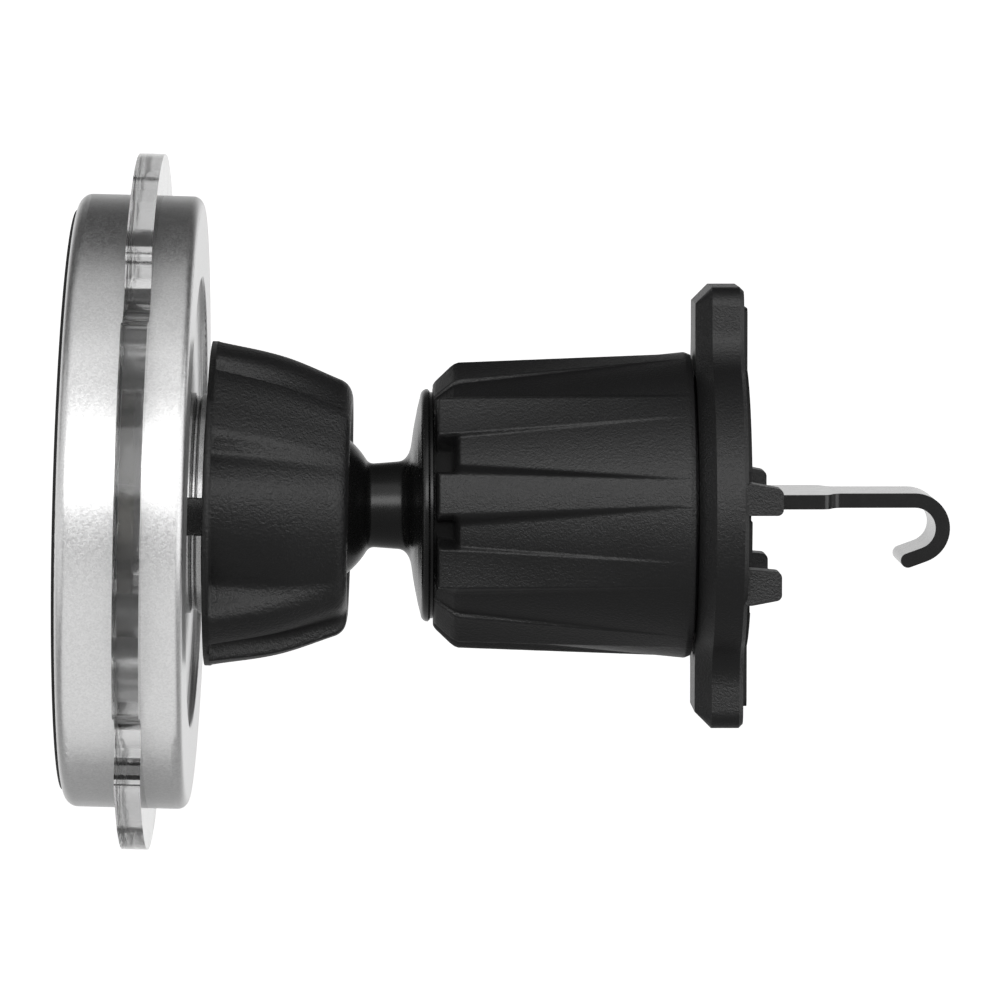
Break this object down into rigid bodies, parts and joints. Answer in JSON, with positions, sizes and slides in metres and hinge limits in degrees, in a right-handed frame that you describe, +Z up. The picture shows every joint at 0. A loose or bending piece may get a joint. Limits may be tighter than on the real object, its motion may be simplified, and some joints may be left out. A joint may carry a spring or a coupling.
{
  "type": "car phone mount",
  "caption": "Magnetic phone mount for a car air vent: round magnetic head on a ball joint, and a knob that draws in a steel vent hook.",
  "frame": {"origin": "on the clamp's axis, in the plane of the rubber pad's outer face, where the mount rests on the air vent", "axes": "+X into the vent along the clamp's axis, -X towards the phone, +Z up"},
  "size_m": [0.0868, 0.0681, 0.0682],
  "materials": {
    "black_plastic": "fine moulded grain, black",
    "black_gloss": "smooth satin black",
    "rubber": "matt black silicone",
    "silver": "satin silver, fine sparkle",
    "clear_plastic": "polished clear acrylic",
    "chrome_trim": "polished",
    "black_steel": "black plated spring steel",
    "steel": "zinc plated",
    "nickel": "nickel plated magnets",
    "brass": "turned",
    "nylon": "natural nylon"
  },
  "bodies": {
    "clamp": {"clamp_body": "black_plastic", "vent_pad": "rubber", "ball_stud": "black_gloss", "stud_screw": "steel", "flange_washer": "black_gloss"},
    "knob": {"knob": "black_plastic", "knob_insert": "brass"},
    "hook": {"hook_carriage": "nylon", "hook": "black_steel", "hook_rivets": "steel"},
    "ball_swing": {"ball_pad": "nylon"},
    "ball_tilt": {"ball_liner": "nylon"},
    "head": {"socket": "black_gloss", "socket_screws": "steel", "hub_collar": "chrome_trim", "rear_shell": "silver", "clear_ring": "clear_plastic", "front_shell": "silver", "face_pad": "rubber", "magnets": "nickel", "magnet_yoke": "steel", "shell_screws": "steel"},
    "nut_lift": {"nut_washer": "steel"},
    "nut": {"nut": "black_plastic"}
  },
  "joints": [
    {"name": "knob_turn", "type": "hinge", "parent": "clamp", "child": "knob", "pos_m": [-0.018, 0, 0], "axis": [1, 0, 0], "range_deg": [-120, 630]},
    {"name": "hook_draw", "type": "slide", "parent": "clamp", "child": "hook", "axis": [-1, 0, 0], "range_m": [-0.0014, 0.0071]},
    {"name": "head_swing", "type": "hinge", "parent": "clamp", "child": "ball_swing", "pos_m": [-0.0443, 0, 0], "axis": [0, 0, 1], "range_deg": [-16, 18]},
    {"name": "head_tilt", "type": "hinge", "parent": "ball_swing", "child": "ball_tilt", "pos_m": [-0.0443, 0, 0], "axis": [0.0175, 0.9998, 0], "range_deg": [-18.5, 15.5]},
    {"name": "head_spin", "type": "hinge", "parent": "ball_tilt", "child": "head", "pos_m": [-0.0443, 0, 0], "axis": [-0.9995, 0.0174, 0.0262], "continuous": true},
    {"name": "nut_lift", "type": "slide", "parent": "head", "child": "nut_lift", "axis": [0.9995, -0.0174, -0.0262], "range_m": [-0.00001, 0.00076]},
    {"name": "nut_turn", "type": "hinge", "parent": "nut_lift", "child": "nut", "pos_m": [-0.0443, 0, 0], "axis": [-0.9995, 0.0174, 0.0262], "range_deg": [-180, 0]}
  ],
  "couplings": [
    {"joint": "hook_draw", "follows": "knob_turn", "m_per_rad": 0.00063662},
    {"joint": "nut_lift", "follows": "nut_turn", "m_per_rad": -0.00023873}
  ]
}
